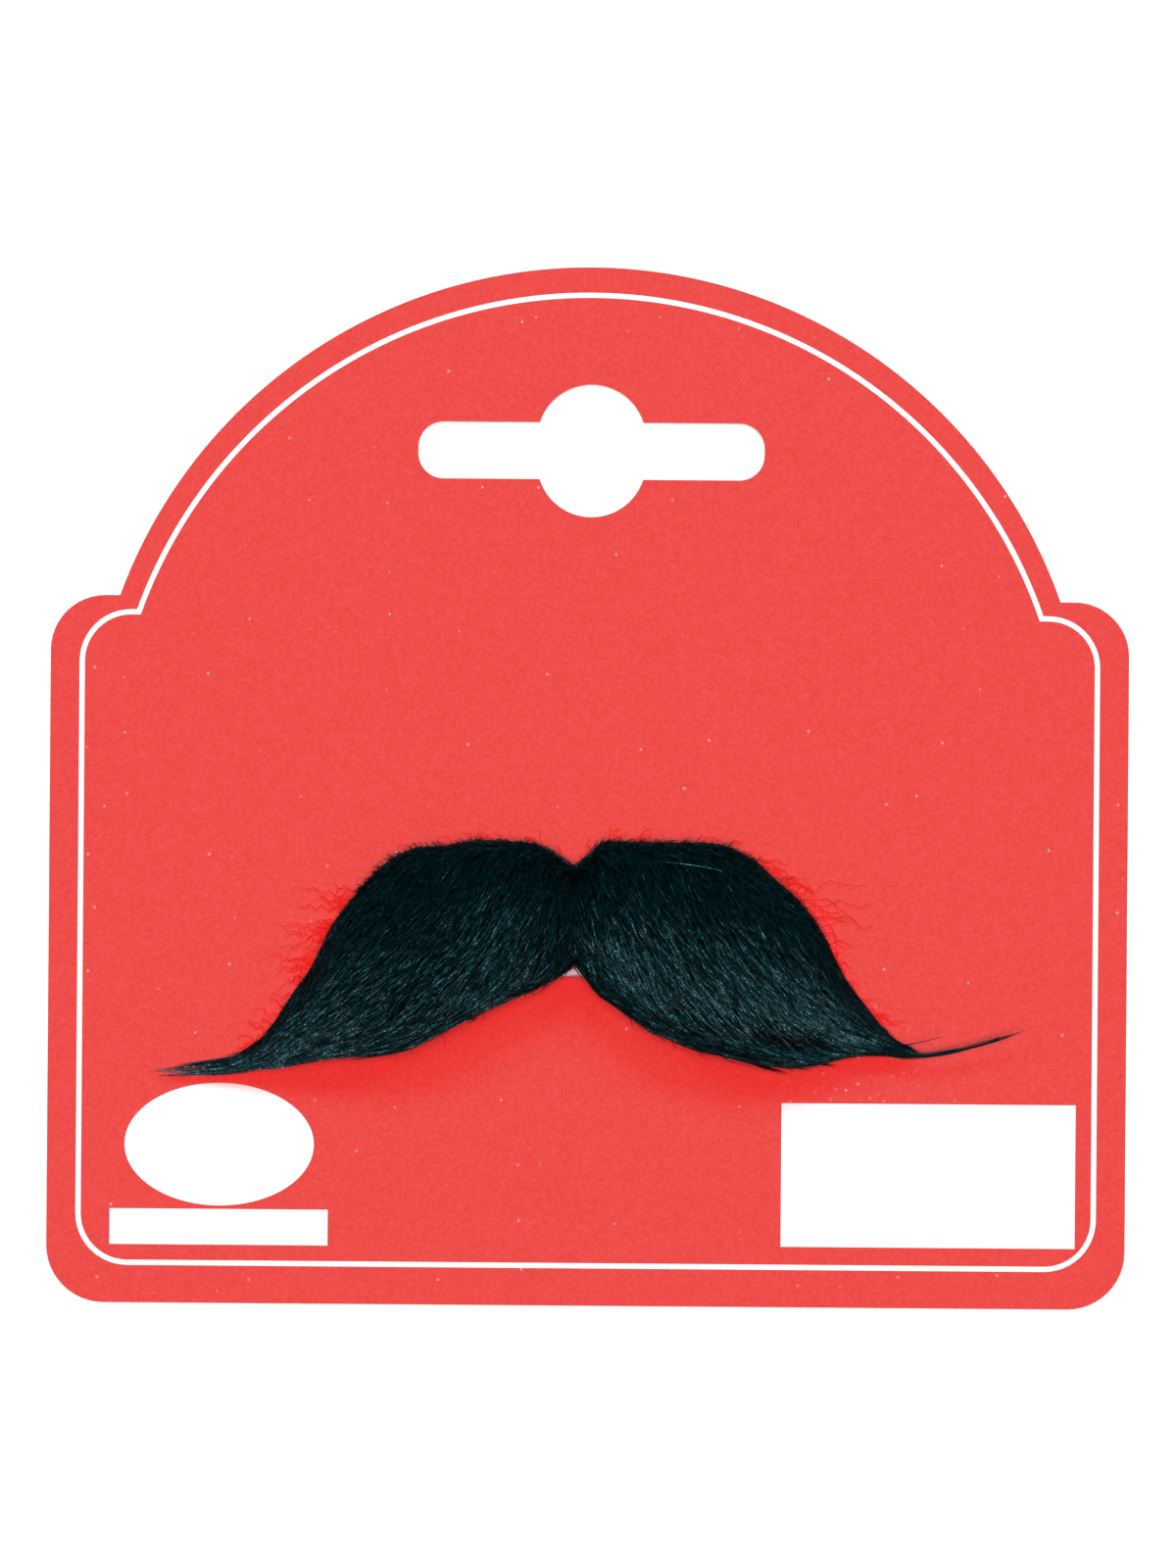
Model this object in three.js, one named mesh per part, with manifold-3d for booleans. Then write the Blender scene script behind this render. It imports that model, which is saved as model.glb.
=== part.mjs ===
// A fake moustache on its display card. The card lies on its back with its printed side up.
// Millimetres. X runs to the right across the card, Y up the card, Z out of its printed face.
// The origin is at the middle of the card's back.
import * as THREE from 'three';
import { mergeVertices } from 'three/addons/utils/BufferGeometryUtils.js';
import Module from 'manifold-3d';

const wasm = await Module();
wasm.setup();

// Display card: a domed top that stands between two round-cornered shoulders
const cardWidth = 100;
const cardHeight = 96.3;
const cardThickness = 0.5;
const shoulderHeight = 65.6;
const shoulderFlat = 1.3;
const shoulderCorner = 5.1;
const bottomCorner = 5.35;

// Hanging slot: a long slot for a flat hook, with a round notch above and below for a wire hook
const slotDrop = 17.05;
const slotWidth = 32;
const slotHeight = 5.2;
const slotCorner = 2.3;
const notchRadius = 5;
const notchOffset = 1.1;

// Double-sided adhesive tape between the card and the hair
const tapeWidth = 28;
const tapeHeight = 9.4;
const tapeThickness = 0.9;
const tapeCorner = 0.8;
const tapeDrop = 8;

// Place of the hair: its highest point below the card's top, its parting left of the card's middle
const hairDrop = 53.05;
const partingLeft = 1.4;
const partingGap = 0.3;

// Hair
const leftLength = 39.6;
const leftHeight = 22.1;
const rightLength = 33.8;
const rightHeight = 21;
const hairDepth = 5;
const backingThickness = 1.2;
const curlLength = 15.5;
const curlWidth = 0.8;

// Outline of each wing. along: share of the wing's length, from the parting to the tip.
// top and foot: the hair's upper and lower edge, as shares of the wing's height, from its lowest point.
const leftOutline = [
  { along: 0.0, top: 0.88, foot: 0.48 },
  { along: 0.08, top: 0.98, foot: 0.38 },
  { along: 0.22, top: 1.0, foot: 0.27 },
  { along: 0.37, top: 0.95, foot: 0.12 },
  { along: 0.47, top: 0.84, foot: 0.09 },
  { along: 0.56, top: 0.63, foot: 0.08 },
  { along: 0.62, top: 0.41, foot: 0.06 },
  { along: 0.7, top: 0.2, foot: 0.04 },
  { along: 0.79, top: 0.09, foot: 0.01 },
  { along: 1.0, top: 0.02, foot: 0.0 },
];
const rightOutline = [
  { along: 0.0, top: 0.88, foot: 0.43 },
  { along: 0.07, top: 0.98, foot: 0.32 },
  { along: 0.2, top: 1.0, foot: 0.17 },
  { along: 0.42, top: 0.97, foot: 0.05 },
  { along: 0.55, top: 0.84, foot: 0.01 },
  { along: 0.66, top: 0.66, foot: 0.0 },
  { along: 0.74, top: 0.39, foot: 0.03 },
  { along: 0.85, top: 0.18, foot: 0.05 },
  { along: 1.0, top: 0.08, foot: 0.06 },
];

// Locks of hair, from root to point. along: share of the wing's length. up: share of the way from the
// hair's lower edge to its upper edge. wide: share of the wing's height. deep: share of the hair's depth.
const leftLocks = [
  { rootAlong: 0.04, rootUp: 1.0, endAlong: 0.06, endUp: -0.05, wide: 0.22, deep: 0.7 },
  { rootAlong: 0.08, rootUp: 1.02, endAlong: 0.16, endUp: -0.05, wide: 0.26, deep: 0.82 },
  { rootAlong: 0.13, rootUp: 1.02, endAlong: 0.27, endUp: -0.05, wide: 0.28, deep: 0.93 },
  { rootAlong: 0.19, rootUp: 1.02, endAlong: 0.38, endUp: -0.04, wide: 0.29, deep: 1.0 },
  { rootAlong: 0.26, rootUp: 1.02, endAlong: 0.49, endUp: -0.04, wide: 0.3, deep: 1.0 },
  { rootAlong: 0.33, rootUp: 1.02, endAlong: 0.59, endUp: -0.04, wide: 0.29, deep: 0.95 },
  { rootAlong: 0.4, rootUp: 1.02, endAlong: 0.7, endUp: -0.04, wide: 0.26, deep: 0.85 },
  { rootAlong: 0.45, rootUp: 1.02, endAlong: 0.84, endUp: 0.1, wide: 0.18, deep: 0.7 },
  { rootAlong: 0.24, rootUp: 0.45, endAlong: 0.64, endUp: -0.04, wide: 0.25, deep: 0.8 },
  { rootAlong: 0.38, rootUp: 0.32, endAlong: 0.9, endUp: 0.1, wide: 0.14, deep: 0.6 },
  { rootAlong: 0.5, rootUp: 0.2, endAlong: 1.0, endUp: 0.3, wide: 0.09, deep: 0.45 },
];
const rightLocks = [
  { rootAlong: 0.05, rootUp: 1.0, endAlong: 0.07, endUp: -0.05, wide: 0.24, deep: 0.7 },
  { rootAlong: 0.1, rootUp: 1.02, endAlong: 0.19, endUp: -0.05, wide: 0.28, deep: 0.82 },
  { rootAlong: 0.16, rootUp: 1.02, endAlong: 0.32, endUp: -0.05, wide: 0.3, deep: 0.93 },
  { rootAlong: 0.24, rootUp: 1.02, endAlong: 0.45, endUp: -0.04, wide: 0.3, deep: 1.0 },
  { rootAlong: 0.32, rootUp: 1.02, endAlong: 0.57, endUp: -0.04, wide: 0.3, deep: 1.0 },
  { rootAlong: 0.41, rootUp: 1.02, endAlong: 0.68, endUp: -0.05, wide: 0.29, deep: 0.95 },
  { rootAlong: 0.49, rootUp: 1.02, endAlong: 0.79, endUp: -0.04, wide: 0.26, deep: 0.85 },
  { rootAlong: 0.57, rootUp: 1.02, endAlong: 0.9, endUp: 0.1, wide: 0.2, deep: 0.7 },
  { rootAlong: 0.3, rootUp: 0.45, endAlong: 0.74, endUp: -0.03, wide: 0.26, deep: 0.8 },
  { rootAlong: 0.52, rootUp: 0.35, endAlong: 0.97, endUp: 0.2, wide: 0.15, deep: 0.55 },
];

// The thin lock that curls up past the right wing's tip. Both columns are shares of its length.
const curlRoute = [
  { out: 0.0, up: 0.0 },
  { out: 0.24, up: -0.08 },
  { out: 0.47, up: -0.08 },
  { out: 0.71, up: -0.02 },
  { out: 1.0, up: 0.1 },
];
const curlRoot = { along: 0.8, up: 0.3 };

// How a lock is drawn: it leaves its root steeply, and its widest place is nearer its root
const bow = { along: 0.36, up: 0.56 };
const widestPlace = 0.66;
const lockFullness = 0.75;
const lockSides = 8;
const lockRings = 10;
const backingReach = 0.76;
const backingInset = 0.03;
const backingSteps = 12;
const cardCurveSteps = 28;
const tapeCurveSteps = 6;

const cardTop = cardHeight / 2;
const cardBottom = -cardHeight / 2;
const partingX = -partingLeft;
const hairTop = cardTop - hairDrop;
const hairBase = cardThickness + tapeThickness;

const cardMaterial = new THREE.MeshStandardMaterial({ color: 0xef4b4b, roughness: 0.45, metalness: 0 });
const tapeMaterial = new THREE.MeshStandardMaterial({ color: 0xe6e2da, roughness: 0.5, metalness: 0 });
const leftHairMaterial = new THREE.MeshStandardMaterial({ color: 0x0b1317, roughness: 0.5, metalness: 0 });
const rightHairMaterial = leftHairMaterial.clone();

function extrude(shape, thickness, curveSegments) {
  return new THREE.ExtrudeGeometry(shape, { depth: thickness, bevelEnabled: false, curveSegments });
}

// Half the angle of the arc that rises by rise over a half width of halfChord, and its radius
function archArc(halfChord, rise) {
  const radius = (halfChord ** 2 + rise ** 2) / (2 * rise);
  return { radius, startAngle: Math.asin((rise - radius) / radius) };
}

function cardOutline() {
  const halfWidth = cardWidth / 2;
  const shoulderY = cardBottom + shoulderHeight;
  const domeFoot = halfWidth - shoulderCorner - shoulderFlat;
  const dome = archArc(domeFoot, cardHeight - shoulderHeight);
  const turn = Math.PI / 2;
  const shape = new THREE.Shape();
  shape.moveTo(-halfWidth + bottomCorner, cardBottom);
  shape.lineTo(halfWidth - bottomCorner, cardBottom);
  shape.absarc(halfWidth - bottomCorner, cardBottom + bottomCorner, bottomCorner, -turn, 0);
  shape.absarc(halfWidth - shoulderCorner, shoulderY - shoulderCorner, shoulderCorner, 0, turn);
  shape.lineTo(domeFoot, shoulderY);
  shape.absarc(0, cardTop - dome.radius, dome.radius, -dome.startAngle, Math.PI + dome.startAngle);
  shape.lineTo(-halfWidth + shoulderCorner, shoulderY);
  shape.absarc(-halfWidth + shoulderCorner, shoulderY - shoulderCorner, shoulderCorner, turn, 2 * turn);
  shape.absarc(-halfWidth + bottomCorner, cardBottom + bottomCorner, bottomCorner, 2 * turn, 3 * turn);
  return shape;
}

function hangingSlot() {
  const slotY = cardTop - slotDrop;
  const halfWidth = slotWidth / 2;
  const halfHeight = slotHeight / 2;
  const turn = Math.PI / 2;
  const notchAngle = Math.asin((halfHeight - notchOffset) / notchRadius);
  const hole = new THREE.Path();
  hole.moveTo(-halfWidth + slotCorner, slotY - halfHeight);
  hole.absarc(0, slotY - notchOffset, notchRadius, Math.PI + notchAngle, 2 * Math.PI - notchAngle);
  hole.absarc(halfWidth - slotCorner, slotY - halfHeight + slotCorner, slotCorner, -turn, 0);
  hole.absarc(halfWidth - slotCorner, slotY + halfHeight - slotCorner, slotCorner, 0, turn);
  hole.absarc(0, slotY + notchOffset, notchRadius, notchAngle, Math.PI - notchAngle);
  hole.absarc(-halfWidth + slotCorner, slotY + halfHeight - slotCorner, slotCorner, turn, 2 * turn);
  hole.absarc(-halfWidth + slotCorner, slotY - halfHeight + slotCorner, slotCorner, 2 * turn, 3 * turn);
  return hole;
}

function displayCard() {
  const shape = cardOutline();
  shape.holes.push(hangingSlot());
  return extrude(shape, cardThickness, cardCurveSteps);
}

function adhesiveTape() {
  const turn = Math.PI / 2;
  const inX = tapeWidth / 2 - tapeCorner;
  const inY = tapeHeight / 2 - tapeCorner;
  const shape = new THREE.Shape();
  shape.moveTo(-inX, -inY - tapeCorner);
  shape.absarc(inX, -inY, tapeCorner, -turn, 0);
  shape.absarc(inX, inY, tapeCorner, 0, turn);
  shape.absarc(-inX, inY, tapeCorner, turn, 2 * turn);
  shape.absarc(-inX, -inY, tapeCorner, 2 * turn, 3 * turn);
  return extrude(shape, tapeThickness, tapeCurveSteps);
}

// A closed geometry as a solid that can be joined and cut
function solid(geometry) {
  const bare = geometry.clone();
  bare.deleteAttribute('normal');
  bare.deleteAttribute('uv');
  const merged = mergeVertices(bare, 1e-5);
  const vertProperties = Float32Array.from(merged.attributes.position.array);
  const triVerts = Uint32Array.from(merged.index.array);
  return new wasm.Manifold(new wasm.Mesh({ numProp: 3, vertProperties, triVerts }));
}

function geometryOf(manifold) {
  const mesh = manifold.getMesh();
  const geometry = new THREE.BufferGeometry();
  geometry.setAttribute('position', new THREE.BufferAttribute(Float32Array.from(mesh.vertProperties), 3));
  geometry.setIndex(new THREE.BufferAttribute(Uint32Array.from(mesh.triVerts), 1));
  geometry.computeVertexNormals();
  return geometry;
}

// The hair's upper and lower edge at a place along the wing, between the two nearest rows
function edgesAt(wing, along) {
  const rows = wing.outline;
  const next = Math.max(1, rows.findIndex((row) => row.along >= along));
  const before = rows[next - 1];
  const after = rows[next];
  const share = (along - before.along) / (after.along - before.along);
  const top = THREE.MathUtils.lerp(before.top, after.top, share);
  const foot = THREE.MathUtils.lerp(before.foot, after.foot, share);
  return { top, foot };
}

// A place on the wing, from its share along and its share of the way up between the two edges
function wingPoint(wing, along, up) {
  const edges = edgesAt(wing, along);
  const share = THREE.MathUtils.lerp(edges.foot, edges.top, up);
  const x = partingX + wing.side * along * wing.length;
  const y = hairTop - wing.height + share * wing.height;
  return new THREE.Vector3(x, y, 0);
}

function backing(wing) {
  const upper = [];
  const lower = [];
  for (let step = 0; step <= backingSteps; step += 1) {
    const along = (backingReach * step) / backingSteps;
    upper.push(wingPoint(wing, along, 1 - backingInset));
    lower.unshift(wingPoint(wing, along, backingInset));
  }
  const corners = [...upper, ...lower].map((point) => new THREE.Vector2(point.x, point.y));
  return extrude(new THREE.Shape(corners), backingThickness, 1);
}

// A lock of hair that lies on the base plane along a route: blunt at its root, pointed at its end
function lock(route, width, depth) {
  const curve = new THREE.CatmullRomCurve3(route);
  const geometry = new THREE.SphereGeometry(1, lockSides, lockRings);
  const position = geometry.attributes.position;
  const vertex = new THREE.Vector3();
  for (let index = 0; index < position.count; index += 1) {
    vertex.fromBufferAttribute(position, index);
    const place = Math.acos(THREE.MathUtils.clamp(vertex.y, -1, 1)) / Math.PI;
    const round = Math.hypot(vertex.x, vertex.z) > 1e-6 ? Math.atan2(vertex.z, vertex.x) : 0;
    const onAxis = place < 1e-6 || place > 1 - 1e-6;
    const size = onAxis ? 0 : Math.sin(Math.PI * place ** widestPlace) ** lockFullness;
    const centre = curve.getPoint(place);
    const tangent = curve.getTangent(place);
    const side = new THREE.Vector3(-tangent.y, tangent.x, 0).normalize();
    const halfDepth = (depth * size) / 2;
    centre.addScaledVector(side, (width / 2) * size * Math.cos(round));
    centre.z += halfDepth + halfDepth * Math.sin(round);
    position.setXYZ(index, centre.x, centre.y, centre.z);
  }
  return geometry;
}

function lockRoute(wing, row) {
  const bend = wingPoint(
    wing,
    THREE.MathUtils.lerp(row.rootAlong, row.endAlong, bow.along),
    THREE.MathUtils.lerp(row.rootUp, row.endUp, bow.up),
  );
  const root = wingPoint(wing, row.rootAlong, row.rootUp);
  const end = wingPoint(wing, row.endAlong, row.endUp);
  return [root, bend, end];
}

function curlPoints(wing) {
  const root = wingPoint(wing, curlRoot.along, curlRoot.up);
  return curlRoute.map((row) => new THREE.Vector3(
    root.x + wing.side * row.out * curlLength,
    root.y + row.up * curlLength,
    0,
  ));
}

// A box that takes away whatever crosses the parting or lies under the base plane
function trimBox(wing) {
  const reach = 2 * cardWidth;
  const beyond = new THREE.BoxGeometry(reach, reach, reach);
  const partingFace = partingX + (wing.side * partingGap) / 2;
  beyond.translate(partingFace - (wing.side * reach) / 2, 0, 0);
  const below = new THREE.BoxGeometry(reach, reach, reach);
  below.translate(0, 0, -reach / 2);
  return solid(beyond).add(solid(below));
}

function hairWing(wing) {
  let hair = solid(backing(wing));
  for (const row of wing.locks) {
    hair = hair.add(solid(lock(lockRoute(wing, row), row.wide * wing.height, row.deep * hairDepth)));
  }
  if (wing.curl) {
    hair = hair.add(solid(lock(curlPoints(wing), curlWidth, curlWidth)));
  }
  return geometryOf(hair.subtract(trimBox(wing)));
}

function piece(name, geometry, material) {
  const mesh = new THREE.Mesh(geometry, material);
  mesh.name = name;
  return mesh;
}

const leftWing = {
  side: -1, length: leftLength, height: leftHeight, outline: leftOutline, locks: leftLocks, curl: false,
};
const rightWing = {
  side: 1, length: rightLength, height: rightHeight, outline: rightOutline, locks: rightLocks, curl: true,
};

const moustacheOnCard = new THREE.Group();

const card = piece('display_card', displayCard(), cardMaterial);
moustacheOnCard.add(card);

const tape = piece('adhesive_tape', adhesiveTape(), tapeMaterial);
tape.position.set(partingX, hairTop - tapeDrop, cardThickness);
moustacheOnCard.add(tape);

const hair = new THREE.Group();
hair.position.z = hairBase;
hair.add(piece('left_wing', hairWing(leftWing), leftHairMaterial));
hair.add(piece('right_wing', hairWing(rightWing), rightHairMaterial));
moustacheOnCard.add(hair);

export default moustacheOnCard;
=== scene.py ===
# %% [markdown]
# # A fake moustache on its display card
#
# This lesson dresses a finished construction model. The model gives the sizes: a flat card with a
# hanging slot, a strip of tape, and two plain wings of hair. Here each of them gets its finish: printed
# board, milky tape, and thousands of fine strands combed over a dark backing.
#
# The card lies on a table with its printed side up. X runs to the right across the card, Y up the card,
# and Z out of the printed face. Blender works in metres, so every size in millimetres is multiplied by mm.

import bmesh
import bpy
import numpy as np
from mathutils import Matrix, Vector


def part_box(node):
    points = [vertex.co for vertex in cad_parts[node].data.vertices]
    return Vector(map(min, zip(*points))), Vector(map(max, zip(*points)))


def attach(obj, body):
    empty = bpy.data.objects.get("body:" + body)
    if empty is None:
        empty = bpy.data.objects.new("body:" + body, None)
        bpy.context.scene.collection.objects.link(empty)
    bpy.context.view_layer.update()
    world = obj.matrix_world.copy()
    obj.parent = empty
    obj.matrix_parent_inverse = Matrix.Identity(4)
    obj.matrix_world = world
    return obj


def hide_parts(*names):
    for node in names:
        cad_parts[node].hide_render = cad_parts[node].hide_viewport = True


mm = 0.001
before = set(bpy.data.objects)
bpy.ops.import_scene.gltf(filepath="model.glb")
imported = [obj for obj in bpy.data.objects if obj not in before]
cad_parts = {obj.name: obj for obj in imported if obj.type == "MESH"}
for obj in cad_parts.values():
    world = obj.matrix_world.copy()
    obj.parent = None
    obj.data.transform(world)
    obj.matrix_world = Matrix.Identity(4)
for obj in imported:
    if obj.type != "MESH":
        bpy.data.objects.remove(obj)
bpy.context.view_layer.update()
card_low, card_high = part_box("display_card")
tape_low, tape_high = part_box("adhesive_tape")
left_low, left_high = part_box("left_wing")
print("nodes", sorted(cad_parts))
print("card", [round(1000 * s, 2) for s in card_high - card_low], "mm")

# %% [markdown]
# ## Camera
#
# The picture looks straight down on the card. A long lens keeps the card's sides parallel and shows
# almost nothing of the thickness of the hair. The card lies a very little turned under the camera.

# %% Place the camera above the card
camera_lens = 100
sensor_size = 36
picture_height = 145.45 * mm
picture_centre = (-0.09 * mm, 0.23 * mm)
card_turn = 0.00785

camera_data = bpy.data.cameras.new("camera")
camera_data.lens = camera_lens
camera_data.sensor_fit = "VERTICAL"
camera_data.sensor_height = sensor_size
camera_data.clip_start = 10 * mm
camera_data.clip_end = 10
camera = bpy.data.objects.new("camera", camera_data)
camera.location = (*picture_centre, picture_height * camera_lens / sensor_size)
camera.rotation_euler = (0, 0, card_turn)
bpy.context.scene.collection.objects.link(camera)
bpy.context.scene.camera = camera
print("camera height", round(1000 * camera.location.z), "mm")

# %% [markdown]
# ## Materials by recipe
#
# Most finishes here start from the same shader, so one short recipe makes it. Constant values are set on
# the shader's own sockets, and only what changes over the surface is wired up with nodes.

# %% A recipe for a plain finish
def finish(name, colour, roughness, specular=0.5):
    """A new material with one shader. Returns the material, its nodes, its links and the shader."""
    material = bpy.data.materials.new(name)
    material.use_nodes = True
    nodes = material.node_tree.nodes
    shader = nodes["Principled BSDF"]
    shader.inputs["Base Color"].default_value = (*colour, 1)
    shader.inputs["Roughness"].default_value = roughness
    shader.inputs["Specular IOR Level"].default_value = specular
    return material, nodes, material.node_tree.links, shader


def noise(nodes, links, coordinate, scale, detail=2, roughness=0.5):
    """Noise over the piece's own coordinates. scale counts repeats in a metre."""
    texture = nodes.new("ShaderNodeTexNoise")
    texture.inputs["Scale"].default_value = scale
    texture.inputs["Detail"].default_value = detail
    texture.inputs["Roughness"].default_value = roughness
    links.new(coordinate, texture.inputs["Vector"])
    return texture


def ramp(nodes, links, value, stops):
    """A colour ramp with the given (place, colour) stops."""
    colours = nodes.new("ShaderNodeValToRGB")
    elements = colours.color_ramp.elements
    while len(elements) < len(stops):
        elements.new(0.5)
    for element, (place, colour) in zip(elements, stops):
        element.position = place
        element.color = (*colour, 1)
    links.new(value, colours.inputs["Fac"])
    return colours


def multiply(nodes, links, first, second):
    """The product of two colours."""
    mix = nodes.new("ShaderNodeMix")
    mix.data_type = "RGBA"
    mix.blend_type = "MULTIPLY"
    mix.inputs["Factor"].default_value = 1
    links.new(first, mix.inputs["A"])
    links.new(second, mix.inputs["B"])
    return mix.outputs["Result"]


def add_bump(nodes, links, shader, height, distance, strength):
    """Raises the surface by a height pattern."""
    bump = nodes.new("ShaderNodeBump")
    bump.inputs["Distance"].default_value = distance
    bump.inputs["Strength"].default_value = strength
    links.new(height, bump.inputs["Height"])
    links.new(bump.outputs["Normal"], shader.inputs["Normal"])


print("recipes ready")

# %% [markdown]
# ## Table and light
#
# The floor is a white light table: it glows a little, so the card throws hardly any shadow on it. In the
# picture the hair's shadow on the card stays a full, strong red: it loses green and blue but hardly any
# red. Four lamps do that. Three cool soft boxes throw the shadow. One stands beyond the card's top, and one
# is turned to each side of it, for the red rim along the outer edges of the hair. A warm lamp at the lens
# fills the shadow, and its own shadows fall behind the hair, where the camera can't see them. The camera
# sees a white room, but what the room sends into the scene is a little cool light. Together all of this
# adds up to white on the card.

# %% Floor, room and lamps
floor_size = 3.0
floor_glow = 0.5
floor_finish, _, _, floor_shader = finish("light table", (0.9, 0.9, 0.9), 0.8, 0.1)
floor_shader.inputs["Emission Color"].default_value = (1, 1, 1, 1)
floor_shader.inputs["Emission Strength"].default_value = floor_glow
floor_mesh = bmesh.new()
bmesh.ops.create_grid(floor_mesh, x_segments=1, y_segments=1, size=floor_size / 2)
bmesh.ops.translate(floor_mesh, verts=floor_mesh.verts, vec=(0, 0, card_low.z))
floor_data = bpy.data.meshes.new("floor")
floor_mesh.to_mesh(floor_data)
floor_mesh.free()
floor_data.materials.append(floor_finish)
floor = bpy.data.objects.new("floor", floor_data)
bpy.context.scene.collection.objects.link(floor)

room_light = (0.05, 0.24, 0.24)
world = bpy.data.worlds.new("room")
world.use_nodes = True
room_nodes, room_links = world.node_tree.nodes, world.node_tree.links
room_nodes["Background"].inputs["Color"].default_value = (*room_light, 1)
backdrop = room_nodes.new("ShaderNodeBackground")
backdrop.inputs["Color"].default_value = (1, 1, 1, 1)
ray = room_nodes.new("ShaderNodeLightPath")
seen = room_nodes.new("ShaderNodeMixShader")
room_links.new(ray.outputs["Is Camera Ray"], seen.inputs["Fac"])
room_links.new(room_nodes["Background"].outputs["Background"], seen.inputs[1])
room_links.new(backdrop.outputs["Background"], seen.inputs[2])
room_links.new(seen.outputs["Shader"], room_nodes["World Output"].inputs["Surface"])
bpy.context.scene.world = world

# Columns: colour, strength, width, height over the table, turn away from the card's top (all in degrees)
lamps = {
    "cool back box": ((0.03, 1.0, 1.0), 1.5, 17, 43, 0),
    "cool left box": ((0.03, 1.0, 1.0), 1.0, 18, 36, 48),
    "cool right box": ((0.03, 1.0, 1.0), 1.0, 18, 36, -48),
    "warm front lamp": ((1.0, 0.322, 0.322), 3.39, 30, 90, 0),
}
for name, (colour, strength, width, height, turned) in lamps.items():
    lamp_data = bpy.data.lights.new(name, "SUN")
    lamp_data.color = colour
    lamp_data.energy = strength
    lamp_data.angle = np.radians(width)
    lamp = bpy.data.objects.new(name, lamp_data)
    lamp.rotation_euler = (np.radians(height - 90), 0, np.radians(turned))
    bpy.context.scene.collection.objects.link(lamp)
bpy.context.scene.view_settings.view_transform = "Standard"
print("lamps", list(lamps))

# %% [markdown]
# ## Drawing an outline
#
# The card is die-cut along straight lines and arcs. One vertex works as a pen: extruding it draws a
# straight edge, and spinning it about a centre draws an arc. The last vertex then merges with the first.

# %% A pen that draws lines and arcs
def line_to(mesh, pen, x, y):
    """Draws a straight edge from the pen to (x, y), and returns the new pen."""
    end = bmesh.ops.extrude_vert_indiv(mesh, verts=[pen])["verts"][0]
    end.co = (x, y, pen.co.z)
    return end


def arc_about(mesh, pen, x, y, angle, steps):
    """Draws an arc about (x, y), anticlockwise where angle is above 0, and returns the new pen."""
    turned = bmesh.ops.spin(
        mesh, geom=[pen], cent=(x, y, pen.co.z), axis=(0, 0, 1), angle=angle, steps=steps, use_merge=False
    )
    return [part for part in turned["geom_last"] if isinstance(part, bmesh.types.BMVert)][0]


def close_loop(mesh, before):
    """Merges the outline's two ends. Returns the edges drawn since the mesh had the edges in before."""
    drawn = {v for e in mesh.edges if e not in before for v in e.verts}
    bmesh.ops.remove_doubles(mesh, verts=list(drawn), dist=1e-7)
    return [e for e in mesh.edges if e not in before]


print("pen ready")

# %% [markdown]
# ## The card's outline
#
# A domed top stands between two round-cornered shoulders. The printed border line has nearly the same
# form a little further in, so one function draws both. Its insets say how far in each side lies.

# %% The domed outline
turn = np.pi / 2
card_half = (card_high.x - card_low.x) / 2
card_top = card_high.y
card_bottom = card_low.y
shoulder_height = 65.6 * mm
shoulder_flat = 1.3 * mm
shoulder_corner = 5.1 * mm
bottom_corner = 5.35 * mm
shoulder_y = card_bottom + shoulder_height
dome_foot = card_half - shoulder_corner - shoulder_flat
dome_rise = card_top - shoulder_y
dome_radius = (dome_foot**2 + dome_rise**2) / (2 * dome_rise)
dome_y = card_top - dome_radius


def domed_outline(
    mesh, z, side=0.0, bottom=0.0, shoulder=0.0, dome=0.0, dome_drop=0.0, top_corner=None, low_corner=None
):
    """Draws the card's outline at height z, with each side moved in. dome_drop lowers the dome's centre."""
    before = set(mesh.edges)
    half = card_half - side
    low = card_bottom + bottom
    high = shoulder_y - shoulder
    top_corner = shoulder_corner - side if top_corner is None else top_corner
    low_corner = bottom_corner - side if low_corner is None else low_corner
    centre_y = dome_y - dome_drop
    radius = dome_radius + dome_drop - dome
    meet = np.sqrt(radius**2 - (high - centre_y) ** 2)
    start = np.arctan2(high - centre_y, meet)
    pen = mesh.verts.new((-half + low_corner, low, z))
    pen = line_to(mesh, pen, half - low_corner, low)
    pen = arc_about(mesh, pen, half - low_corner, low + low_corner, turn, 12)
    pen = line_to(mesh, pen, half, high - top_corner)
    pen = arc_about(mesh, pen, half - top_corner, high - top_corner, turn, 12)
    pen = line_to(mesh, pen, meet, high)
    pen = arc_about(mesh, pen, 0, centre_y, np.pi - 2 * start, 96)
    pen = line_to(mesh, pen, -half + top_corner, high)
    pen = arc_about(mesh, pen, -half + top_corner, high - top_corner, turn, 12)
    pen = line_to(mesh, pen, -half, low + low_corner)
    arc_about(mesh, pen, -half + low_corner, low + low_corner, turn, 12)
    return close_loop(mesh, before)


print("dome radius", round(1000 * dome_radius, 2), "mm")

# %% [markdown]
# ## The hanging slot
#
# Shop cards hang on a hook through a slot of a standard form: a long slot for a flat hook, and a round
# notch above and below its middle for a wire hook. It is drawn clockwise or anticlockwise alike, since
# only its edges are used.

# %% The slot's outline
slot_y = card_top - 17.05 * mm
slot_half_width = 16 * mm
slot_half_height = 2.6 * mm
slot_corner = 2.3 * mm
notch_radius = 5 * mm
notch_offset = 1.1 * mm


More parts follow.
